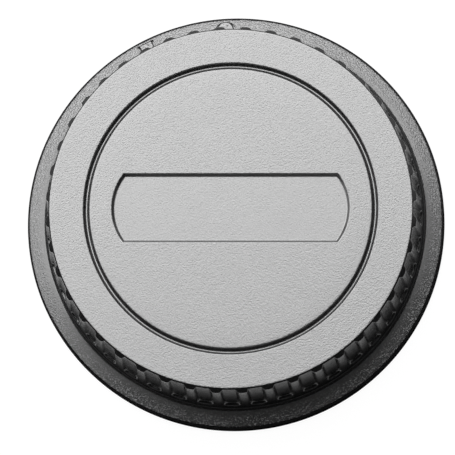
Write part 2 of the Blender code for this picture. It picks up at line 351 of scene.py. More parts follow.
class Bench:
    """The few editing moves that every part of the cap is modelled with."""

    @staticmethod
    def object_mode() -> None:
        """Leave edit mode, if Blender is in it."""
        if bpy.context.object is not None and bpy.context.object.mode != "OBJECT":
            bpy.ops.object.mode_set(mode="OBJECT")

    @classmethod
    def clear_selection(cls) -> None:
        """Deselect every object."""
        cls.object_mode()
        bpy.ops.object.select_all(action="DESELECT")

    @classmethod
    def pick(cls, *objects: bpy.types.Object) -> None:
        """Select some objects and nothing else.

        Args:
            objects: The objects, of which the first becomes the active one.
        """
        cls.clear_selection()
        for obj in objects:
            obj.select_set(True)
        bpy.context.view_layer.objects.active = objects[0]

    @classmethod
    def edit(cls, obj: bpy.types.Object) -> None:
        """Open one object in edit mode, with nothing selected in it.

        Args:
            obj: The object.
        """
        cls.pick(obj)
        bpy.ops.object.mode_set(mode="EDIT")
        bpy.ops.mesh.select_mode(type="VERT")
        bpy.ops.mesh.select_all(action="DESELECT")

    @staticmethod
    def choose(obj: bpy.types.Object, kind: Picked, wanted: Callable[..., bool]) -> None:
        """Select the points or edges of the object in edit mode that pass a test.

        Args:
            obj: The object.
            kind: Whether points or edges are tested.
            wanted: The test, which takes one point or edge.
        """
        bpy.ops.mesh.select_mode(type=kind.value)
        bpy.ops.mesh.select_all(action="DESELECT")
        bm = bmesh.from_edit_mesh(obj.data)
        for element in bm.verts if kind is Picked.POINTS else bm.edges:
            if wanted(element):
                element.select_set(True)
        bmesh.update_edit_mesh(obj.data)

    @staticmethod
    def end_radii(edge: bmesh.types.BMEdge) -> list[float]:
        """Return how far an edge's two ends lie from the Z axis."""
        return [math.hypot(vertex.co.x, vertex.co.y) for vertex in edge.verts]

    @staticmethod
    def merge_doubles() -> None:
        """Merge the points that lie on each other, in the object in edit mode."""
        bpy.ops.mesh.select_all(action="SELECT")
        bpy.ops.mesh.remove_doubles(threshold=MERGE_DISTANCE)

    @classmethod
    def apply_place(cls, obj: bpy.types.Object) -> None:
        """Put an object's place, turn and scale into its mesh."""
        cls.pick(obj)
        bpy.ops.object.transform_apply(location=True, rotation=True, scale=True)

    @classmethod
    def keep_primitive(cls, name: str) -> bpy.types.Object:
        """Name the primitive that was just added and put its place into its mesh.

        Args:
            name: Its name.

        Returns:
            The primitive.
        """
        obj = bpy.context.object
        obj.name = name
        obj.data.name = name
        cls.apply_place(obj)
        return obj

    @classmethod
    def draw_section(cls, name: str, section: list[Point]) -> bpy.types.Object:
        """Draw an open section in the XZ plane, point by point.

        Args:
            name: The new object's name.
            section: The section's points as radius and height.

        Returns:
            The object, in edit mode with the whole section selected.
        """
        cls.clear_selection()
        bpy.ops.mesh.primitive_plane_add(size=SEED_SIZE, location=ORIGIN)
        obj = cls.keep_primitive(name)
        cls.edit(obj)
        bpy.ops.mesh.select_all(action="SELECT")
        bpy.ops.mesh.merge(type="CENTER")
        bpy.ops.transform.translate(value=(section[0][0], 0.0, section[0][1]))
        for here, there in zip(section, section[1:]):
            step = (there[0] - here[0], 0.0, there[1] - here[1])
            bpy.ops.mesh.extrude_region_move(TRANSFORM_OT_translate={"value": step})
        bpy.ops.mesh.select_all(action="SELECT")
        return obj

    @classmethod
    def turn(cls, name: str, section: list[Point], steps: int,
             angle: float = FULL_TURN) -> bpy.types.Object:
        """Spin a section round Z.

        Args:
            name: The new object's name.
            section: The section's points as radius and height.
            steps: How many steps the turn has.
            angle: How far it turns, the whole way round if nothing is given.

        Returns:
            The turned surface, in object mode.
        """
        obj = cls.draw_section(name, section)
        bpy.ops.mesh.spin(steps=steps, angle=angle, center=ORIGIN, axis=(0.0, 0.0, 1.0))
        cls.merge_doubles()
        cls.object_mode()
        return obj

    @classmethod
    def repeat_round(cls, obj: bpy.types.Object, count: int) -> None:
        """Copy a mesh round Z and merge it where the copies meet.

        Args:
            obj: The object that holds the mesh.
            count: How many there are in the end, all the way round.
        """
        cls.edit(obj)
        bpy.ops.mesh.select_all(action="SELECT")
        bpy.ops.mesh.spin(steps=count, dupli=True, angle=FULL_TURN, center=ORIGIN, axis=(0.0, 0.0, 1.0))
        cls.merge_doubles()
        cls.object_mode()

    @classmethod
    def join(cls, *objects: bpy.types.Object) -> bpy.types.Object:
        """Join objects into the first of them.

        Args:
            objects: The objects.

        Returns:
            The first object, which now holds them all.
        """
        cls.pick(*objects)
        bpy.ops.object.join()
        return objects[0]

    @classmethod
    def bridge(cls, obj: bpy.types.Object, *radii: float) -> None:
        """Join two open loops that run round Z with a ring of faces.

        Args:
            obj: The object that has both loops.
            radii: The radii of the two loops.
        """
        def on_loop(edge: bmesh.types.BMEdge) -> bool:
            """Tell whether an edge lies on one of the loops."""
            gaps = [max(abs(end - radius) for end in cls.end_radii(edge)) for radius in radii]
            return edge.is_boundary and min(gaps) < LOOP_REACH

        cls.edit(obj)
        cls.choose(obj, Picked.EDGES, on_loop)
        bpy.ops.mesh.bridge_edge_loops()
        cls.object_mode()

    @classmethod
    def face_outwards(cls, obj: bpy.types.Object) -> None:
        """Merge doubles and turn every face of a closed mesh outwards.

        Args:
            obj: The object that holds the mesh.
        """
        cls.edit(obj)
        cls.merge_doubles()
        bpy.ops.mesh.normals_make_consistent(inside=False)
        cls.object_mode()

    @classmethod
    def combine(cls, target: bpy.types.Object, tool: bpy.types.Object, joining: Joining) -> None:
        """Join a tool to a closed mesh or cut it out, and remove the tool.

        Args:
            target: The mesh that is changed.
            tool: The closed mesh that changes it.
            joining: Whether the tool is added or cut out.
        """
        modifier = target.modifiers.new("combine", "BOOLEAN")
        modifier.object = tool
        modifier.operation = joining.value
        modifier.solver = "EXACT"
        cls.pick(target)
        bpy.ops.object.modifier_apply(modifier=modifier.name)
        bpy.data.objects.remove(tool, do_unlink=True)


@dataclass
class FlatFace:
    """The flat face: a border, a ring groove and, inside it, a long recessed panel."""

    sizes: CapSizes
    turn_steps: int = 264
    round_steps: int = 3
    panel_arc_segments: int = 192
    fall_steps: int = 8
    border_gap: float = 0.00048
    fill_reach: float = 0.00012
    middle_reach: float = 1.0e-6
    flat_angle: float = math.radians(0.2)
    corner_share: float = 0.6

    @property
    def edges(self) -> dict[Side, float]:
        """The radii of the open loops at the face's inner and outer side."""
        return {
            Side.INNER: self.sizes.groove_inner_radius - self.sizes.disc_fall_width,
            Side.OUTER: self.sizes.face_radius - self.border_gap,
        }

    def ring_section(self) -> list[Point]:
        """Draw the section from inside the ring groove to the face's border.

        Returns:
            The section's points as radius and height.
        """
        s = self.sizes
        floor_start = s.groove_inner_radius + s.groove_inner_run
        floor_z = s.height - s.groove_depth
        steps = self.round_steps
        fall: list[Corner] = []
        for step in range(self.fall_steps):
            share = step / self.fall_steps
            radius = self.edges[Side.INNER] + share * s.disc_fall_width
            fall.append((radius, s.height - s.disc_fall * share ** 2, 0.0, 0))
        return rounded_outline([
            *fall,
            (s.groove_inner_radius, s.height - s.disc_fall, s.groove_edge_round, 2 * steps),
            (floor_start, floor_z, s.groove_floor_round, steps),
            (floor_start + s.groove_floor_width, floor_z, s.groove_floor_round, steps),
            (s.groove_outer_radius, s.height, s.groove_edge_round, 2 * steps),
            (self.edges[Side.OUTER], s.height, 0.0, 0),
        ])

    def panel_wall(self) -> list[Point]:
        """Draw the section of the panel's sloping wall.

        Returns:
            The section's points as distance in from the panel's rim and height.
        """
        s = self.sizes
        steps = self.round_steps
        return rounded_outline([
            (-s.panel_round, 0.0, 0.0, 0),
            (0.0, 0.0, s.panel_round, 2 * steps),
            (s.panel_wall_run, -s.panel_depth, s.panel_round, 2 * steps),
            (s.panel_wall_run + s.panel_round, -s.panel_depth, 0.0, 0),
        ])

    def panel_plate(self) -> bpy.types.Object:
        """Model the recessed panel: a disc pulled long, cut straight, then inset down its wall.

        Returns:
            An open sheet whose outer edge lies in the flat face.
        """
        s = self.sizes
        half_width = 0.5 * s.panel_width
        end_radius = (half_width ** 2 + s.panel_end_bow ** 2) / (2.0 * s.panel_end_bow)
        Bench.clear_selection()
        bpy.ops.mesh.primitive_circle_add(
            vertices=self.panel_arc_segments,
            radius=end_radius + s.panel_round,
            fill_type="NGON",
            location=(0.0, 0.0, s.height),
        )
        plate = Bench.keep_primitive("panel_plate")
        Bench.edit(plate)
        for side in (1.0, -1.0):
            Bench.choose(plate, Picked.POINTS, lambda vertex: side * vertex.co.x > self.middle_reach)
            bpy.ops.transform.translate(value=(side * (s.panel_half_length - end_radius), 0.0, 0.0))
        half_width += s.panel_round
        for side in (1.0, -1.0):
            bpy.ops.mesh.select_all(action="SELECT")
            bpy.ops.mesh.bisect(
                plane_co=(0.0, side * half_width, s.height),
                plane_no=(0.0, side, 0.0),
                clear_outer=True,
                use_fill=False,
            )
        bpy.ops.mesh.select_all(action="SELECT")
        bpy.ops.mesh.dissolve_limited(angle_limit=self.flat_angle)
        self.clear_corners(plate, half_width)
        self.face_up(plate)
        wall = self.panel_wall()
        for here, there in zip(wall, wall[1:]):
            bpy.ops.mesh.inset(thickness=there[0] - here[0], depth=there[1] - here[1], use_boundary=True)
        Bench.object_mode()
        return plate

    def clear_corners(self, plate: bpy.types.Object, half_width: float) -> None:
        """Take out the arcs' points next to the corners, which the insets would carry past them.

        Args:
            plate: The panel's outline, open in edit mode.
            half_width: Half of the outline's width.
        """
        s = self.sizes
        clear = self.corner_share * (s.panel_wall_run + 2.0 * s.panel_round)
        points = [vertex.co.copy() for vertex in bmesh.from_edit_mesh(plate.data).verts]
        corners = [point for point in points if abs(abs(point.y) - half_width) < MERGE_DISTANCE]

        def near_corner(vertex: bmesh.types.BMVert) -> bool:
            """Tell whether a point lies next to a corner, without being one."""
            return MERGE_DISTANCE < min((vertex.co - corner).length for corner in corners) < clear

        Bench.choose(plate, Picked.POINTS, near_corner)
        bpy.ops.mesh.dissolve_verts()

    @staticmethod
    def face_up(plate: bpy.types.Object) -> None:
        """Turn a flat sheet that is open in edit mode so that it faces up.

        Args:
            plate: The sheet.
        """
        bpy.ops.mesh.select_all(action="SELECT")
        bpy.ops.mesh.normals_make_consistent(inside=False)
        if sum(face.normal.z for face in bmesh.from_edit_mesh(plate.data).faces) < 0.0:
            bpy.ops.mesh.flip_normals()

    def build(self) -> bpy.types.Object:
        """Build the face as one open sheet, with its panel filled in between.

        Returns:
            The sheet, open at the face's outer side.
        """
        ring = Bench.turn("flat_face", self.ring_section(), self.turn_steps)
        face = Bench.join(ring, self.panel_plate())
        inside = self.edges[Side.INNER] + self.fill_reach
        Bench.edit(face)
        Bench.choose(
            face,
            Picked.EDGES,
            lambda edge: edge.is_boundary and max(Bench.end_radii(edge)) < inside,
        )
        bpy.ops.mesh.fill(use_beauty=True)
        Bench.object_mode()
        return face


@dataclass
class GripBand:
    """The knurled grip: lobes with a sloping shoulder, and a round-footed pocket between each two."""

    sizes: CapSizes
    edge_steps: int = 3
    round_steps: int = 4
    wall_rows: int = 4
    shoulder_rows: int = 10
    foot_steps: int = 9
    crown_fade: float = 0.0006
    side_blend: float = 0.00013
    floor_blend: float = 0.00009
    back_blend: float = 0.00006
    top_blend_share: float = 0.15
    top_reach: float = 1.0e-6
    face_margin: float = 0.00025
    flange_start: float = 0.0008
    flange_margin: float = 0.0022
    flange_rows: int = 7
    columns: tuple[float, ...] = (
        0.0, 0.00030, 0.00055, 0.00075, 0.00090, 0.00100, 0.00110,
        0.00120, 0.00130, 0.00140, 0.00152, 0.00172,
    )
    floor_rows: tuple[float, ...] = (
        0.00120, 0.00080, 0.00055, 0.00038, 0.00024, 0.00012, 0.00004,
        -0.00003, -0.00009, -0.00015, -0.00021, -0.00029, -0.00045,
    )

    @property
    def edges(self) -> dict[Side, float]:
        """The radii of the open loops at the band's inner and outer side."""
        return {
            Side.INNER: self.sizes.face_radius - self.face_margin,
            Side.OUTER: self.sizes.foot_radius + self.flange_margin,
        }

    @property
    def floor_z(self) -> float:
        """Height of the pockets' floor."""
        return self.sizes.foot_z + self.sizes.pocket_floor_rise

    def lobe_radius(self, z: float) -> float:
        """Return the radius of the lobes' drafted wall at a height."""
        s = self.sizes
        return s.shoulder_radius + (s.shoulder_z - z) * math.tan(s.grip_draft)

    def section(self) -> list[Point]:
        """Draw the section over a lobe, from the flat face down to the flange.

        Returns:
            The section's points as radius and height.
        """
        s = self.sizes
        corners = [
            (self.edges[Side.INNER], s.height, 0.0, 0),
            (s.face_radius, s.height, s.face_edge_round, self.edge_steps),
        ]
        for row in range(1, self.shoulder_rows):
            run, drop = (row / self.shoulder_rows * size for size in (s.shoulder_run, s.shoulder_drop))
            if s.face_edge_round < drop < s.shoulder_drop - 0.5 * s.shoulder_round:
                corners.append((s.face_radius + run, s.height - drop, 0.0, 0))
        corners.append((s.shoulder_radius, s.shoulder_z, s.shoulder_round, self.round_steps))
        top = s.shoulder_z - 2.0 * s.shoulder_round
        bottom = self.floor_z + self.floor_rows[0]
        heights = [top + (bottom - top) * row / self.wall_rows for row in range(self.wall_rows)]
        heights += [self.floor_z + rise for rise in self.floor_rows]
        corners += [(self.lobe_radius(z), z, 0.0, 0) for z in heights]
        corners.append((s.foot_radius, s.foot_z, s.foot_round, self.foot_steps))
        for row in range(self.flange_rows + 1):
            run = self.flange_start + (self.flange_margin - self.flange_start) * row / self.flange_rows
            corners.append((s.foot_radius + run, s.foot_z - run * math.tan(s.flange_slope), 0.0, 0))
        return rounded_outline(corners)

    def pocket_radius(self, across: float, z: float) -> tuple[float, float]:
        """Return how far out the pocket's hollow reaches at one place.

        Args:
            across: Distance from the pocket's middle line, round the grip.
            z: Height.

        Returns:
            The radius of the hollow's surface, and how softly it runs into the lobe there.
        """
        s = self.sizes
        corner = s.pocket_corner_radius
        beside = max(0.0, abs(across) - 0.5 * s.pocket_back_width + corner)
        below = max(0.0, self.floor_z - z + corner)
        outside = max(0.0, math.hypot(beside, below) - corner)
        floor_share = below ** 2 / (beside ** 2 + below ** 2) if beside + below > 0.0 else 0.0
        side_run = 0.5 * (s.pocket_mouth_width - s.pocket_back_width)
        run = side_run + (s.pocket_floor_run - side_run) * floor_share
        rise = math.hypot(outside * s.pocket_depth / run, self.back_blend) - self.back_blend
        blend = self.side_blend + (self.floor_blend - self.side_blend) * floor_share
        return self.lobe_radius(z) - s.pocket_depth + rise, blend

    def sunk_radius(self, radius: float, across: float, z: float) -> float:
        """Return the radius of the finished grip where the plain band has the given one.

        Args:
            radius: The plain band's radius.
            across: Distance from the nearest pocket's middle line.
            z: Height.

        Returns:
            The radius, crowned over a lobe and sunk in a pocket.
        """
        s = self.sizes
        foot_top = s.foot_z + s.foot_tangent
        if z > s.height - self.top_reach or z < foot_top:
            return radius
        half_pitch = 0.5 * s.lobe_pitch * radius
        from_lobe = (half_pitch - abs(across)) / (half_pitch - 0.5 * s.pocket_mouth_width)
        depth = min(1.0, (s.height - z) / s.shoulder_drop)
        fade = min(1.0, (z - foot_top) / self.crown_fade)
        crown = s.lobe_crown * min(1.0, from_lobe) ** 2 * depth * fade
        hollow, blend = self.pocket_radius(across, z)
        blend *= self.top_blend_share + (1.0 - self.top_blend_share) * depth
        return smooth_minimum(radius - crown, hollow, blend)

    def sink_pockets(self, band: bpy.types.Object) -> None:
        """Slide each column of the turned band to its place and sink the pockets into it.

        Args:
            band: The turned band, still smooth all round.
        """
        s = self.sizes
        per_pitch = 2 * len(self.columns)
        column_angle = s.lobe_pitch / per_pitch
        for vertex in band.data.vertices:
            radius = math.hypot(vertex.co.x, vertex.co.y)
            column = round(math.atan2(vertex.co.y, vertex.co.x) / column_angle)
            pocket = math.floor(column / per_pitch + 0.5)
            place = column - pocket * per_pitch
            if abs(place) < len(self.columns):
                across = math.copysign(self.columns[abs(place)], place)
            else:
                across = math.copysign(0.5 * s.lobe_pitch * radius, place)
            angle = pocket * s.lobe_pitch + across / radius
            radius = self.sunk_radius(radius, across, vertex.co.z)
            vertex.co.x = radius * math.cos(angle)
            vertex.co.y = radius * math.sin(angle)

    def build(self) -> bpy.types.Object:
        """Build the band: one pitch is turned and sunk, then copied all the way round.

        Returns:
            The band, open at the flat face and at the flange.
        """
        band = Bench.turn("grip_band", self.section(), 2 * len(self.columns), self.sizes.lobe_pitch)
        self.sink_pockets(band)
        Bench.repeat_round(band, self.sizes.lobe_count)
        return band


@dataclass
class FlangeAndCavity:
    """The flange, its rim, the lens seat under it and the cavity behind the flat face."""

    sizes: CapSizes
    inner_radius: float
    turn_steps: int = 264
    wide_steps: int = 8
    edge_steps: int = 4
    seat_steps: int = 3

    def section(self) -> list[Point]:
        """Draw the section from the flange, round the rim and into the cavity.

        Returns:
            The section's points as radius and height.
        """
        s = self.sizes
        start_z = s.rim_height + (s.rim_radius - self.inner_radius) * math.tan(s.flange_slope)
        return rounded_outline([
            (self.inner_radius, start_z, 0.0, 0),
            (s.rim_radius, s.rim_height, s.rim_round, self.wide_steps),
            (s.rim_radius, 0.0, s.rim_foot_round, self.edge_steps),
            (s.seat_radius, 0.0, s.seat_round, self.seat_steps),
            (s.seat_radius, s.seat_depth, s.seat_round, self.seat_steps),
            (s.cavity_radius, s.seat_depth, s.mouth_round, self.edge_steps),
            (s.ceiling_radius, s.ceiling_z, s.cavity_fillet, self.wide_steps),
            (0.0, s.ceiling_z, 0.0, 0),
        ])

    def build(self) -> bpy.types.Object:
        """Build the flange and the cavity, open where the grip meets the flange."""
        return Bench.turn("flange_and_cavity", self.section(), self.turn_steps)


@dataclass
class BayonetTabs:
    """Three curved tabs round the cavity's mouth, each with a lead-in ramp and a stop."""

    sizes: CapSizes
    tab_steps: int = 24
    stop_steps: int = 3
    round_steps: int = 3
    sharp_angle: float = math.radians(40.0)

    def block(self, name: str, section: list[Point], start: float, span: float,
              steps: int) -> bpy.types.Object:
        """Model a curved block.

        Args:
            name: The block's name.
            section: The block's section as radius and height.
            start: Angle of its first end.
            span: Angle that it covers.
            steps: How many steps its curve has.

        Returns:
            The closed block, with sharp edges.
        """
        block = Bench.draw_section(name, section)
        bpy.ops.mesh.edge_face_add()
        bpy.ops.mesh.spin(steps=steps, angle=span, center=ORIGIN, axis=(0.0, 0.0, -1.0))
        bpy.ops.mesh.select_all(action="SELECT")
        bpy.ops.mesh.normals_make_consistent(inside=False)
        Bench.object_mode()
        block.rotation_euler = (0.0, 0.0, start)
        Bench.apply_place(block)
        return block

    def block_section(self, reach: float, low: float, high: float) -> list[Point]:
        """Draw the section of a tab or a stop, rooted in the cavity's wall.

        Args:
            reach: How far it stands out of the wall.
            low: Height of its lower side.
            high: Height of its upper side.

        Returns:
            The section's four corners as radius and height.
        """
        inner = self.sizes.cavity_radius - reach
        outer = self.sizes.cavity_radius + self.sizes.tab_root
        return [(inner, low), (outer, low), (outer, high), (inner, high)]

    def round_edges(self, block: bpy.types.Object) -> None:
        """Round the sharp edges of a block.

        Args:
            block: The block.
        """
        bevel = block.modifiers.new("rounding", "BEVEL")
        bevel.width = self.sizes.tab_round
        bevel.segments = self.round_steps
        bevel.limit_method = "ANGLE"
        bevel.angle_limit = self.sharp_angle
        Bench.pick(block)
        bpy.ops.object.modifier_apply(modifier=bevel.name)

    def slope_ramp(self, tab: bpy.types.Object, start: float) -> None:
        """Lower the upper side of a tab towards its first end.

        Args:
            tab: The tab.
            start: Angle of its first end.
        """
        s = self.sizes
        middle_z = 0.5 * (s.tab_bottom_z + s.tab_top_z)
        middle = start + 0.5 * s.tab_span
        for vertex in tab.data.vertices:
            if vertex.co.z > middle_z:
                turned = math.remainder(math.atan2(vertex.co.y, vertex.co.x) - middle, FULL_TURN)
                along = turned + 0.5 * s.tab_span
                vertex.co.z -= s.ramp_drop * max(0.0, 1.0 - along / s.ramp_span)

    def build(self) -> list[bpy.types.Object]:
        """Build every tab and every stop.

        Returns:
            The closed blocks, which still have to be joined to the cap.
        """
        s = self.sizes
        tab_section = self.block_section(s.tab_reach, s.tab_bottom_z, s.tab_top_z)
        stop_section = self.block_section(
            s.stop_reach,
            s.tab_top_z - 0.5 * s.tab_thickness,
            s.tab_top_z + s.stop_rise,
        )
        blocks = []
        for index in range(s.tab_count):
            start = s.tab_first_angle + index * FULL_TURN / s.tab_count
            stop_start = start + s.tab_span - s.stop_inset - s.stop_span
            tab = self.block(f"tab_{index + 1}", tab_section, start, s.tab_span, self.tab_steps)
            self.slope_ramp(tab, start)
            stop = self.block(f"stop_{index + 1}", stop_section, stop_start, s.stop_span, self.stop_steps)
            for block in (tab, stop):
                self.round_edges(block)
                blocks.append(block)
        return blocks


@dataclass(frozen=True)
class MarkShape:
    """The outline of one index mark, and where it lies on the flange."""

    name: str
    sides: int
    size: float
    angle: float

    @property
    def half_size(self) -> float:
        """Half of the mark's size across."""
        return 0.5 * self.size

    @property
    def corner_stretch(self) -> float:
        """How much farther the outline's corners reach than its sides."""
        return 1.0 / math.cos(math.pi / self.sides)

    @property
    def turn(self) -> Place:
        """The turn that brings a side of the outline square to the X axis."""
        return (0.0, 0.0, math.pi / self.sides)

    @property
    def cornered(self) -> bool:
        """Whether the outline has corners to round."""
        return self.sides == SQUARE_SIDES


@dataclass
class IndexMarks:
    """Two low pads on the flange, one round and one square, that line the cap up with the lens."""

    sizes: CapSizes
    circle_steps: int = 64
    round_steps: int = 2
    dot_segments: int = 20
    dot_rings: int = 12

    def round_edges(self, mark: bpy.types.Object, edges: MarkEdges, width: float) -> None:
        """Round some edges of a mark.

        Args:
            mark: The mark, centred on the origin.
            edges: Which of its edges are rounded.
            width: The rounding's width.
        """
        highest = max(vertex.co.z for vertex in mark.data.vertices)

        def belongs(edge: bmesh.types.BMEdge) -> bool:
            """Tell whether an edge is one of those to round."""
            ends = [abs(vertex.co.z - highest) < MERGE_DISTANCE for vertex in edge.verts]
            return all(ends) if edges is MarkEdges.TOP else any(ends) and not all(ends)

        Bench.edit(mark)
        Bench.choose(mark, Picked.EDGES, belongs)
        bpy.ops.mesh.bevel(offset=width, segments=self.round_steps, affect="EDGES")
        Bench.object_mode()

    def pad(self, shape: MarkShape) -> bpy.types.Object:
        """Model one pad, a little wider at its root than at its top, and set it on the flange.

        Args:
            shape: The mark's outline and place.

        Returns:
            The closed pad.
        """
        s = self.sizes
        Bench.clear_selection()
        bpy.ops.mesh.primitive_cone_add(
            vertices=shape.sides,
            radius1=(shape.half_size + s.mark_draft) * shape.corner_stretch,
            radius2=(shape.half_size - s.mark_top_inset) * shape.corner_stretch,
            depth=s.mark_top_z - s.mark_root_z,
            rotation=shape.turn,
        )
        pad = Bench.keep_primitive(shape.name)
        if shape.cornered:
            self.round_edges(pad, MarkEdges.UPRIGHT, s.mark_corner)
        self.round_edges(pad, MarkEdges.TOP, s.mark_edge)
        radius = s.mark_outer_radius - shape.half_size
        middle_z = 0.5 * (s.mark_top_z + s.mark_root_z)
        pad.location = (radius * math.cos(shape.angle), radius * math.sin(shape.angle), middle_z)
        pad.rotation_euler = (0.0, 0.0, shape.angle)
        Bench.apply_place(pad)
        return pad

    def moat(self, shape: MarkShape) -> bpy.types.Object:
        """Model the cutter of the shallow moat round one pad, square to the sloping flange.

        Args:
            shape: The mark's outline and place.

        Returns:
            The closed cutter, in its place.
        """
        s = self.sizes
        radius = s.mark_outer_radius - shape.half_size
        surface_z = s.rim_height + (s.rim_radius - radius) * math.tan(s.flange_slope)
        Bench.clear_selection()
        bpy.ops.mesh.primitive_cylinder_add(
            vertices=shape.sides,
            radius=(shape.half_size + s.mark_moat_width) * shape.corner_stretch,
            depth=2.0 * s.mark_moat_depth,
            rotation=shape.turn,
        )
        cutter = Bench.keep_primitive(f"{shape.name}_moat")
        if shape.cornered:
            self.round_edges(cutter, MarkEdges.UPRIGHT, s.mark_corner)
        tilt = Matrix.Rotation(s.flange_slope, 4, "Y")
        place = Matrix.Translation((radius, 0.0, surface_z))
        cutter.matrix_world = Matrix.Rotation(shape.angle, 4, "Z") @ place @ tilt
        Bench.apply_place(cutter)
        return cutter

    def dot(self, shape: MarkShape) -> bpy.types.Object:
        """Model the cutter of the small dimple in one pad's top.

        Args:
            shape: The mark's outline and place.

        Returns:
            The closed cutter, in its place.
        """
        s = self.sizes
        radius = s.mark_outer_radius - shape.half_size + s.mark_dot_out
        angle = shape.angle - s.mark_dot_aside / radius
        z = s.mark_top_z + s.mark_dot_radius - s.mark_dot_depth
        Bench.clear_selection()
        bpy.ops.mesh.primitive_uv_sphere_add(
            segments=self.dot_segments,
            ring_count=self.dot_rings,
            radius=s.mark_dot_radius,
            location=(radius * math.cos(angle), radius * math.sin(angle), z),
        )
        return Bench.keep_primitive(f"{shape.name}_dot")

    def set_into(self, cap: bpy.types.Object) -> None:
        """Cut the moats into the cap, join the pads to it and sink their dimples.

        Args:
            cap: The cap's closed mesh.
        """
        s = self.sizes
        shapes = (
            MarkShape("round_mark", self.circle_steps, s.round_mark_diameter, s.round_mark_angle),
            MarkShape("square_mark", SQUARE_SIDES, s.square_mark_side, s.square_mark_angle),
        )
        for shape in shapes:
            Bench.combine(cap, self.moat(shape), Joining.CUT_OUT)
            Bench.combine(cap, self.pad(shape), Joining.ADDED)
            Bench.combine(cap, self.dot(shape), Joining.CUT_OUT)


class NodeSheet:
    """A shader node tree, with short ways to fill it."""

    def __init__(self, tree: bpy.types.NodeTree) -> None:
        """Keep the tree that is to be filled."""
        self.tree = tree

    def feed(self, socket: bpy.types.NodeSocket, value: Value) -> None:
        """Feed an input.

        Args:
            socket: The input.
            value: The output that is linked to it, or the number, vector or colour it is set to.
        """
        if isinstance(value, bpy.types.NodeSocket):
            self.tree.links.new(value, socket)
        else:
            socket.default_value = value

    def node(self, kind: str, feeds: dict[str | int, Value] | None = None,
             **settings: object) -> bpy.types.Node:
        """Add a node.

        Args:
            kind: The node's type, without the word that all shader nodes start with.
            feeds: What feeds its inputs, by their name or number.
            settings: The node's own settings.

        Returns:
            The node.
        """
        node = self.tree.nodes.new(f"ShaderNode{kind}")
        for setting, value in settings.items():
            setattr(node, setting, value)
        for socket, value in (feeds or {}).items():
            self.feed(node.inputs[socket], value)
        return node

    def math(self, operation: str, *values: Value) -> bpy.types.NodeSocket:
        """Add a Math node and return its result."""
        return self.node("Math", dict(enumerate(values)), operation=operation).outputs["Value"]

    def measure(self, operation: str, *vectors: Value) -> bpy.types.NodeSocket:
        """Add a Vector Math node that gives one number, and return that number."""
        return self.node("VectorMath", dict(enumerate(vectors)), operation=operation).outputs["Value"]

    def blend(self, kind: str, share: Value, first: Value, second: Value) -> bpy.types.NodeSocket:
        """Add a Mix node and return its result."""
        feeds = {"Factor": share, "A": first, "B": second}
        return self.node("Mix", feeds, data_type=kind).outputs["Result"]

    def ramp(self, value: Value, source: Point, target: Point = WHOLE) -> bpy.types.NodeSocket:
        """Change a value evenly from one span to another, and hold it past the ends.

        Args:
            value: The value.
            source: The two ends of the value's own span.
            target: What the value becomes at these ends.

        Returns:
            The changed value.
        """
        feeds = {
            "Value": value,
            "From Min": source[0],
            "From Max": source[1],
            "To Min": target[0],
            "To Max": target[1],
        }
        return self.node("MapRange", feeds).outputs["Result"]


class MaterialSheet(NodeSheet):
    """The node tree of a new material, round its Principled shader."""

    def __init__(self, name: str) -> None:
        """Create the material.

        Args:
            name: The material's name.
        """
        self.material = bpy.data.materials.new(name)
        self.material.use_nodes = True
        super().__init__(self.material.node_tree)
        self.shader = self.tree.nodes["Principled BSDF"]

    def dress(self, feeds: dict[str, Value]) -> None:
        """Feed the Principled shader, with an output or a value for each input that is named."""
        for label, value in feeds.items():
            self.feed(self.shader.inputs[label], value)


@dataclass(frozen=True)
class SandGrain:
    """The grain of a sand blasted mould: coarse and fine grains, sparse specks and wide patches."""

    name: str = "sand_grain"
    coarse_scale: float = 5600.0
    coarse_detail: float = 1.0
    coarse_roughness: float = 0.6
    fine_scale: float = 4500.0
    fine_share: float = 0.4
    speck_span: Point = (0.55, 0.68)
    patch_scale: float = 260.0
    patch_detail: float = 2.0

    @property
    def inputs(self) -> dict[str, float]:
        """The group's inputs, with their values on the cap."""
        return {
            "Coarse Scale": self.coarse_scale,
            "Fine Scale": self.fine_scale,
            "Fine Share": self.fine_share,
            "Patch Scale": self.patch_scale,
        }

    def group(self) -> bpy.types.NodeTree:
        """Build the node group.

        Returns:
            The group, with a height, a mask of the specks and a mask of the patches.
        """
        tree = bpy.data.node_groups.new(self.name, "ShaderNodeTree")
        tree.interface.new_socket(name="Vector", in_out="INPUT", socket_type="NodeSocketVector")
        for label in self.inputs:
            tree.interface.new_socket(name=label, in_out="INPUT", socket_type="NodeSocketFloat")
        for label in ("Height", "Speckle", "Patches"):
            tree.interface.new_socket(name=label, in_out="OUTPUT", socket_type="NodeSocketFloat")
        sheet = NodeSheet(tree)
        given = tree.nodes.new("NodeGroupInput").outputs
        noises = [
            sheet.node("TexNoise", {"Vector": given["Vector"], "Scale": given[scale], "Detail": detail})
            for scale, detail in (
                ("Coarse Scale", self.coarse_detail),
                ("Fine Scale", 0.0),
                ("Patch Scale", self.patch_detail),
            )
        ]
        noises[0].inputs["Roughness"].default_value = self.coarse_roughness
        coarse, fine, patches = (noise.outputs["Fac"] for noise in noises)
        result = tree.nodes.new("NodeGroupOutput").inputs
        sheet.feed(result["Height"], sheet.blend("FLOAT", given["Fine Share"], coarse, fine))
        sheet.feed(result["Speckle"], sheet.ramp(fine, self.speck_span))
        sheet.feed(result["Patches"], patches)
        return tree


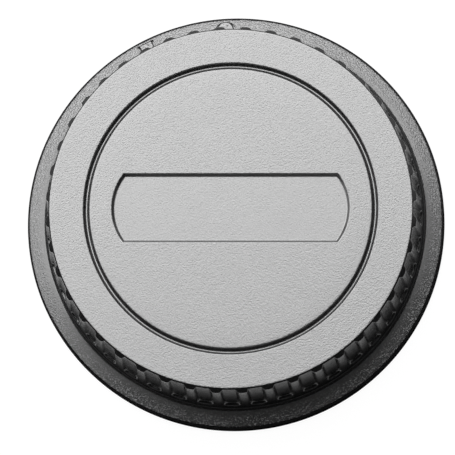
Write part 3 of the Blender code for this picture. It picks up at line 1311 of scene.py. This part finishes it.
@dataclass(frozen=True)
class SatinPlastic:
    """The cap's finish: black plastic, grained on the broad faces and smoother in the grip, with painted
    glints at the grain's specks.
    """

    name: str = "black_satin_plastic"
    zone: str = "grained"
    grain: SandGrain = SandGrain()
    dark: Colour = (0.0050, 0.0050, 0.0053, 1.0)
    # Pale colour of the specks: painted glints, standing for grain facets that catch the lamps.
    light: Colour = (0.2100, 0.2100, 0.2140, 1.0)
    panel_zone: float = 0.14
    face_zone: float = 0.28
    flange_zone: float = 1.0
    smooth_share: float = 0.10
    smooth_roughness: float = 0.20
    grained_roughness: float = 0.32
    roughness_swing: float = 0.012
    speckle_roughness: float = 0.38
    ior: float = 2.0
    specular: float = 1.0
    smooth_height: float = 0.15
    bump_distance: float = 0.000105

    def material(self) -> bpy.types.Material:
        """Build the material.

        Returns:
            A Principled material with the grain in its roughness and bump, and painted glints in its
            colour at the grain's specks.
        """
        sheet = MaterialSheet(self.name)
        zone = sheet.node("Attribute", attribute_name=self.zone).outputs["Fac"]
        place = sheet.node("TexCoord").outputs["Object"]
        grain = sheet.node(
            "Group",
            {"Vector": place, **self.grain.inputs},
            node_tree=self.grain.group(),
        ).outputs
        share = sheet.ramp(zone, WHOLE, (self.smooth_share, 1.0))
        # Grain specks: the roughness they add is real; the pale colour they give is painted glints.
        rough_and_painted_glint_specks = sheet.math("MULTIPLY", grain["Speckle"], share)
        both = (self.smooth_roughness, self.grained_roughness)
        roughness = sheet.ramp(zone, (0.0, self.panel_zone), both)
        swing = sheet.ramp(grain["Patches"], WHOLE, (-self.roughness_swing, self.roughness_swing))
        roughness = sheet.math("ADD", roughness, swing)
        share = sheet.ramp(zone, WHOLE, (self.smooth_height, 1.0))
        height = sheet.math("MULTIPLY", grain["Height"], share)
        bump = sheet.node("Bump", {"Height": height, "Distance": self.bump_distance})
        sheet.dress({
            "IOR": self.ior,
            "Specular IOR Level": self.specular,
            "Base Color": sheet.blend("RGBA", rough_and_painted_glint_specks, self.dark, self.light),
            "Roughness": sheet.math("MULTIPLY_ADD", rough_and_painted_glint_specks, self.speckle_roughness, roughness),
            "Normal": bump.outputs["Normal"],
        })
        return sheet.material


@dataclass
class RearLensCap:
    """The whole cap, modelled as one closed piece."""

    sizes: CapSizes = field(default_factory=CapSizes)
    finish: SatinPlastic = field(default_factory=SatinPlastic)
    bridge_width: float = 0.0003
    smooth_angle: float = math.radians(38.0)
    grained_slope: float = math.cos(math.radians(34.0))
    grain_start: float = 0.0004
    grain_rise: float = 0.0013

    def build(self) -> bpy.types.Object:
        """Model the cap and dress it.

        Returns:
            The finished piece.
        """
        face = FlatFace(self.sizes)
        grip = GripBand(self.sizes)
        flange = FlangeAndCavity(self.sizes, grip.edges[Side.OUTER] + self.bridge_width)
        cap = Bench.join(grip.build(), face.build(), flange.build())
        cap.name = "cap_moulding"
        cap.data.name = "cap_moulding"
        Bench.bridge(cap, face.edges[Side.OUTER], grip.edges[Side.INNER])
        Bench.bridge(cap, grip.edges[Side.OUTER], flange.inner_radius)
        Bench.face_outwards(cap)
        for block in BayonetTabs(self.sizes).build():
            Bench.combine(cap, block, Joining.ADDED)
        IndexMarks(self.sizes).set_into(cap)
        zone = cap.data.attributes.new(self.finish.zone, "FLOAT", "FACE")
        zone.data.foreach_set("value", [self.grain_on(polygon) for polygon in cap.data.polygons])
        self.smooth(cap)
        cap.data.materials.clear()
        cap.data.materials.append(self.finish.material())
        return cap

    def grain_on(self, polygon: bpy.types.MeshPolygon) -> float:
        """Tell how strongly one face of the mesh has the mould's grain.

        Args:
            polygon: The face.

        Returns:
            The strength, which is zero off the flat face, the panel, the flange and the marks.
        """
        s = self.sizes
        z = polygon.center.z
        radius = math.hypot(polygon.center.x, polygon.center.y)
        if polygon.normal.z <= self.grained_slope:
            return 0.0
        if radius > s.foot_radius and z > s.rim_height:
            share = (radius - s.foot_radius - self.grain_start) / self.grain_rise
            return self.finish.flange_zone * min(1.0, max(0.0, share))
        if radius >= s.face_radius or z <= s.height - s.groove_depth:
            return 0.0
        in_panel = z < s.height - 0.5 * s.panel_depth and radius < s.panel_half_length
        return self.finish.panel_zone if in_panel else self.finish.face_zone

    def smooth(self, cap: bpy.types.Object) -> None:
        """Shade the cap smooth, with flat areas kept flat.

        Args:
            cap: The cap.
        """
        Bench.pick(cap)
        bpy.ops.object.shade_smooth_by_angle(angle=self.smooth_angle)
        weighted = cap.modifiers.new("flat_areas", "WEIGHTED_NORMAL")
        weighted.keep_sharp = True
        bpy.ops.object.modifier_apply(modifier=weighted.name)


@dataclass(frozen=True)
class PhotoCamera:
    """The camera at the photograph's view: high over the cap, a little towards its front."""

    frame_pixels: float = 455.0
    focal_pixels: float = 4938.4
    sensor_width: float = 36.0
    distance: float = 0.800
    tilt: float = math.radians(9.92)
    heading: float = math.radians(20.11)
    aim: Place = (-0.00141, -0.00048, 0.0)
    nearest: float = 0.01
    farthest: float = 20.0

    def build(self) -> bpy.types.Object:
        """Create the camera and make it the scene's own.

        Returns:
            The camera.
        """
        data = bpy.data.cameras.new("photo_camera")
        data.sensor_width = self.sensor_width
        data.lens = self.sensor_width * self.focal_pixels / self.frame_pixels
        data.clip_start = self.nearest
        data.clip_end = self.farthest
        camera = bpy.data.objects.new("photo_camera", data)
        back = Vector((
            math.sin(self.tilt) * math.sin(self.heading),
            -math.sin(self.tilt) * math.cos(self.heading),
            math.cos(self.tilt),
        ))
        right = Vector((1.0, 0.0, 0.0))
        right = (right - back * right.dot(back)).normalized()
        turn = Matrix((right, back.cross(right), back)).transposed().to_4x4()
        camera.matrix_world = Matrix.Translation(Vector(self.aim) + back * self.distance) @ turn
        bpy.context.scene.collection.objects.link(camera)
        bpy.context.scene.camera = camera
        return camera


@dataclass(frozen=True)
class Softbox:
    """One plain soft light, aimed at the cap."""

    name: str
    place: Place
    size: Point
    radiance: float

    def build(self) -> bpy.types.Object:
        """Create the light, which the camera doesn't see.

        Returns:
            The light's object.
        """
        data = bpy.data.lights.new(self.name, "AREA")
        data.shape = "RECTANGLE"
        data.size, data.size_y = self.size
        data.energy = self.radiance * math.pi * self.size[0] * self.size[1]
        light = bpy.data.objects.new(self.name, data)
        light.location = self.place
        light.rotation_euler = Vector(self.place).to_track_quat("Z", "Y").to_euler()
        light.visible_camera = False
        bpy.context.scene.collection.objects.link(light)
        return light


@dataclass(frozen=True)
class WhitePaper:
    """The floor: white for the eye, and dark in gloss but for a pale ring and a glow behind the cap."""

    size: float = 8.0
    drop: float = 0.00005
    paper: Colour = (0.08, 0.08, 0.08, 1.0)
    shade: Colour = (0.015, 0.015, 0.015, 1.0)
    roughness: float = 0.9
    glow: float = 0.95
    window_radius: float = 0.0336
    ring_inner: float = 0.0344
    ring_fade: Point = (0.0380, 0.0404)
    ring_reach: Point = (0.0086, 0.0112)
    ring_bright_side: float = math.radians(120.0)
    ring_sides: Point = (-0.0360, 0.0080)
    ring_glow: Point = (0.60, 1.20)
    back_span: Point = (-0.010, 0.035)
    back_glow: float = 0.18
    back_reach: float = 0.012

    def gloss(self, sheet: NodeSheet, place: Value, radius: Value, path: bpy.types.NodeOutputs) -> Value:
        """Work out what the cap's gloss sees of the floor.

        Args:
            sheet: The floor's node tree.
            place: The place on the floor.
            radius: That place's distance from the cap's middle.
            path: The outputs of the Light Path node.

        Returns:
            The floor's brightness for glossy rays.
        """
        bright_side = (math.cos(self.ring_bright_side), math.sin(self.ring_bright_side), 0.0)
        length = path["Ray Length"]
        ring = sheet.math("GREATER_THAN", radius, self.ring_inner)
        for value, source, target in (
            (radius, self.ring_fade, (1.0, 0.0)),
            (length, self.ring_reach, WHOLE),
            (sheet.measure("DOT_PRODUCT", place, bright_side), self.ring_sides, self.ring_glow),
        ):
            ring = sheet.math("MULTIPLY", ring, sheet.ramp(value, source, target))
        back = sheet.node("SeparateXYZ", {"Vector": place}).outputs["Y"]
        back = sheet.ramp(back, self.back_span, (0.0, self.back_glow))
        back = sheet.math("MULTIPLY", back, sheet.math("GREATER_THAN", length, self.back_reach))
        return sheet.math("MULTIPLY", sheet.math("MAXIMUM", ring, back), path["Is Glossy Ray"])

    def material(self) -> bpy.types.Material:
        """Build the paper, which is clear from below and under the cap.

        Returns:
            The material.
        """
        sheet = MaterialSheet("white_paper")
        place = sheet.node("TexCoord").outputs["Object"]
        path = sheet.node("LightPath").outputs
        radius = sheet.measure("LENGTH", place)
        eye = sheet.math("MAXIMUM", path["Is Camera Ray"], path["Is Transmission Ray"])
        gloss = self.gloss(sheet, place, radius, path)
        sheet.dress({
            "Roughness": self.roughness,
            "Specular IOR Level": 0.0,
            "Base Color": sheet.blend("RGBA", eye, self.shade, self.paper),
            "Emission Color": WHITE,
            "Emission Strength": sheet.math("ADD", sheet.math("MULTIPLY", eye, self.glow), gloss),
        })
        back = sheet.node("NewGeometry").outputs["Backfacing"]
        clear = sheet.math("MAXIMUM", back, sheet.math("LESS_THAN", radius, self.window_radius))
        surface = sheet.node("MixShader", {
            "Fac": clear,
            1: sheet.shader.outputs["BSDF"],
            2: sheet.node("BsdfTransparent").outputs["BSDF"],
        })
        sheet.feed(sheet.tree.nodes["Material Output"].inputs["Surface"], surface.outputs["Shader"])
        return sheet.material

    def build(self) -> bpy.types.Object:
        """Lay the floor under the cap.

        Returns:
            The floor.
        """
        Bench.clear_selection()
        bpy.ops.mesh.primitive_plane_add(size=self.size, location=(0.0, 0.0, -self.drop))
        floor = bpy.context.object
        floor.name = "floor"
        floor.data.materials.append(self.material())
        return floor


@dataclass
class Studio:
    """The floor, the lights and the world round the cap."""

    floor: WhitePaper = field(default_factory=WhitePaper)
    surround_rise: Point = (0.50, 0.66)
    surround: Point = (0.008, 0.075)
    under_light: Place = (-0.45, 0.35, -0.82)
    under_edge: float = 0.15
    under_level: float = 1.0
    softboxes: tuple[Softbox, ...] = (
        Softbox("overhead_softbox", (-0.1455, 0.4262, 0.567), (0.95, 1.02), 3.35),
        Softbox("left_softbox", (-0.790, 0.070, 0.405), (0.72, 0.70), 1.66),
        Softbox("back_right_softbox", (0.52, 0.56, 0.50), (0.60, 0.42), 2.4),
        Softbox("right_softbox", (0.77, 0.05, 0.54), (0.45, 0.42), 0.70),
        Softbox("front_left_softbox", (-0.55, -0.50, 0.52), (0.50, 0.50), 0.18),
    )

    def world(self) -> None:
        """Give the world a dim grey, darker towards the horizon, that the camera sees as white."""
        world = bpy.data.worlds.new("studio")
        world.use_nodes = True
        bpy.context.scene.world = world
        sheet = NodeSheet(world.node_tree)
        towards = sheet.node("TexCoord").outputs["Generated"]
        up = sheet.node("SeparateXYZ", {"Vector": towards}).outputs["Z"]
        room = sheet.ramp(up, self.surround_rise, self.surround)
        lamp = sheet.measure("DOT_PRODUCT", towards, self.under_light)
        lamp = sheet.ramp(lamp, (self.under_edge, 1.0), (0.0, self.under_level))
        lamp = sheet.math("MULTIPLY", lamp, sheet.math("LESS_THAN", up, 0.0))
        level = sheet.math("MAXIMUM", room, lamp)
        eye = sheet.node("LightPath").outputs["Is Camera Ray"]
        sky = sheet.tree.nodes["Background"]
        sheet.feed(sky.inputs["Color"], WHITE)
        sheet.feed(sky.inputs["Strength"], sheet.math("MAXIMUM", level, eye))

    def build(self) -> None:
        """Set up the floor, the lights, the world and the view."""
        self.floor.build()
        self.world()
        for softbox in self.softboxes:
            softbox.build()
        bpy.context.scene.view_settings.view_transform = "Standard"


def main() -> None:
    """Build the cap and the studio, and report each piece."""
    logging.basicConfig(level=logging.INFO, format="%(message)s")
    cap = RearLensCap().build()
    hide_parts("cap_body")
    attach(cap, "root")
    LOG.info("cap_moulding: %d faces", len(cap.data.polygons))
    PhotoCamera().build()
    Studio().build()


if __name__ == "__main__":
    main()
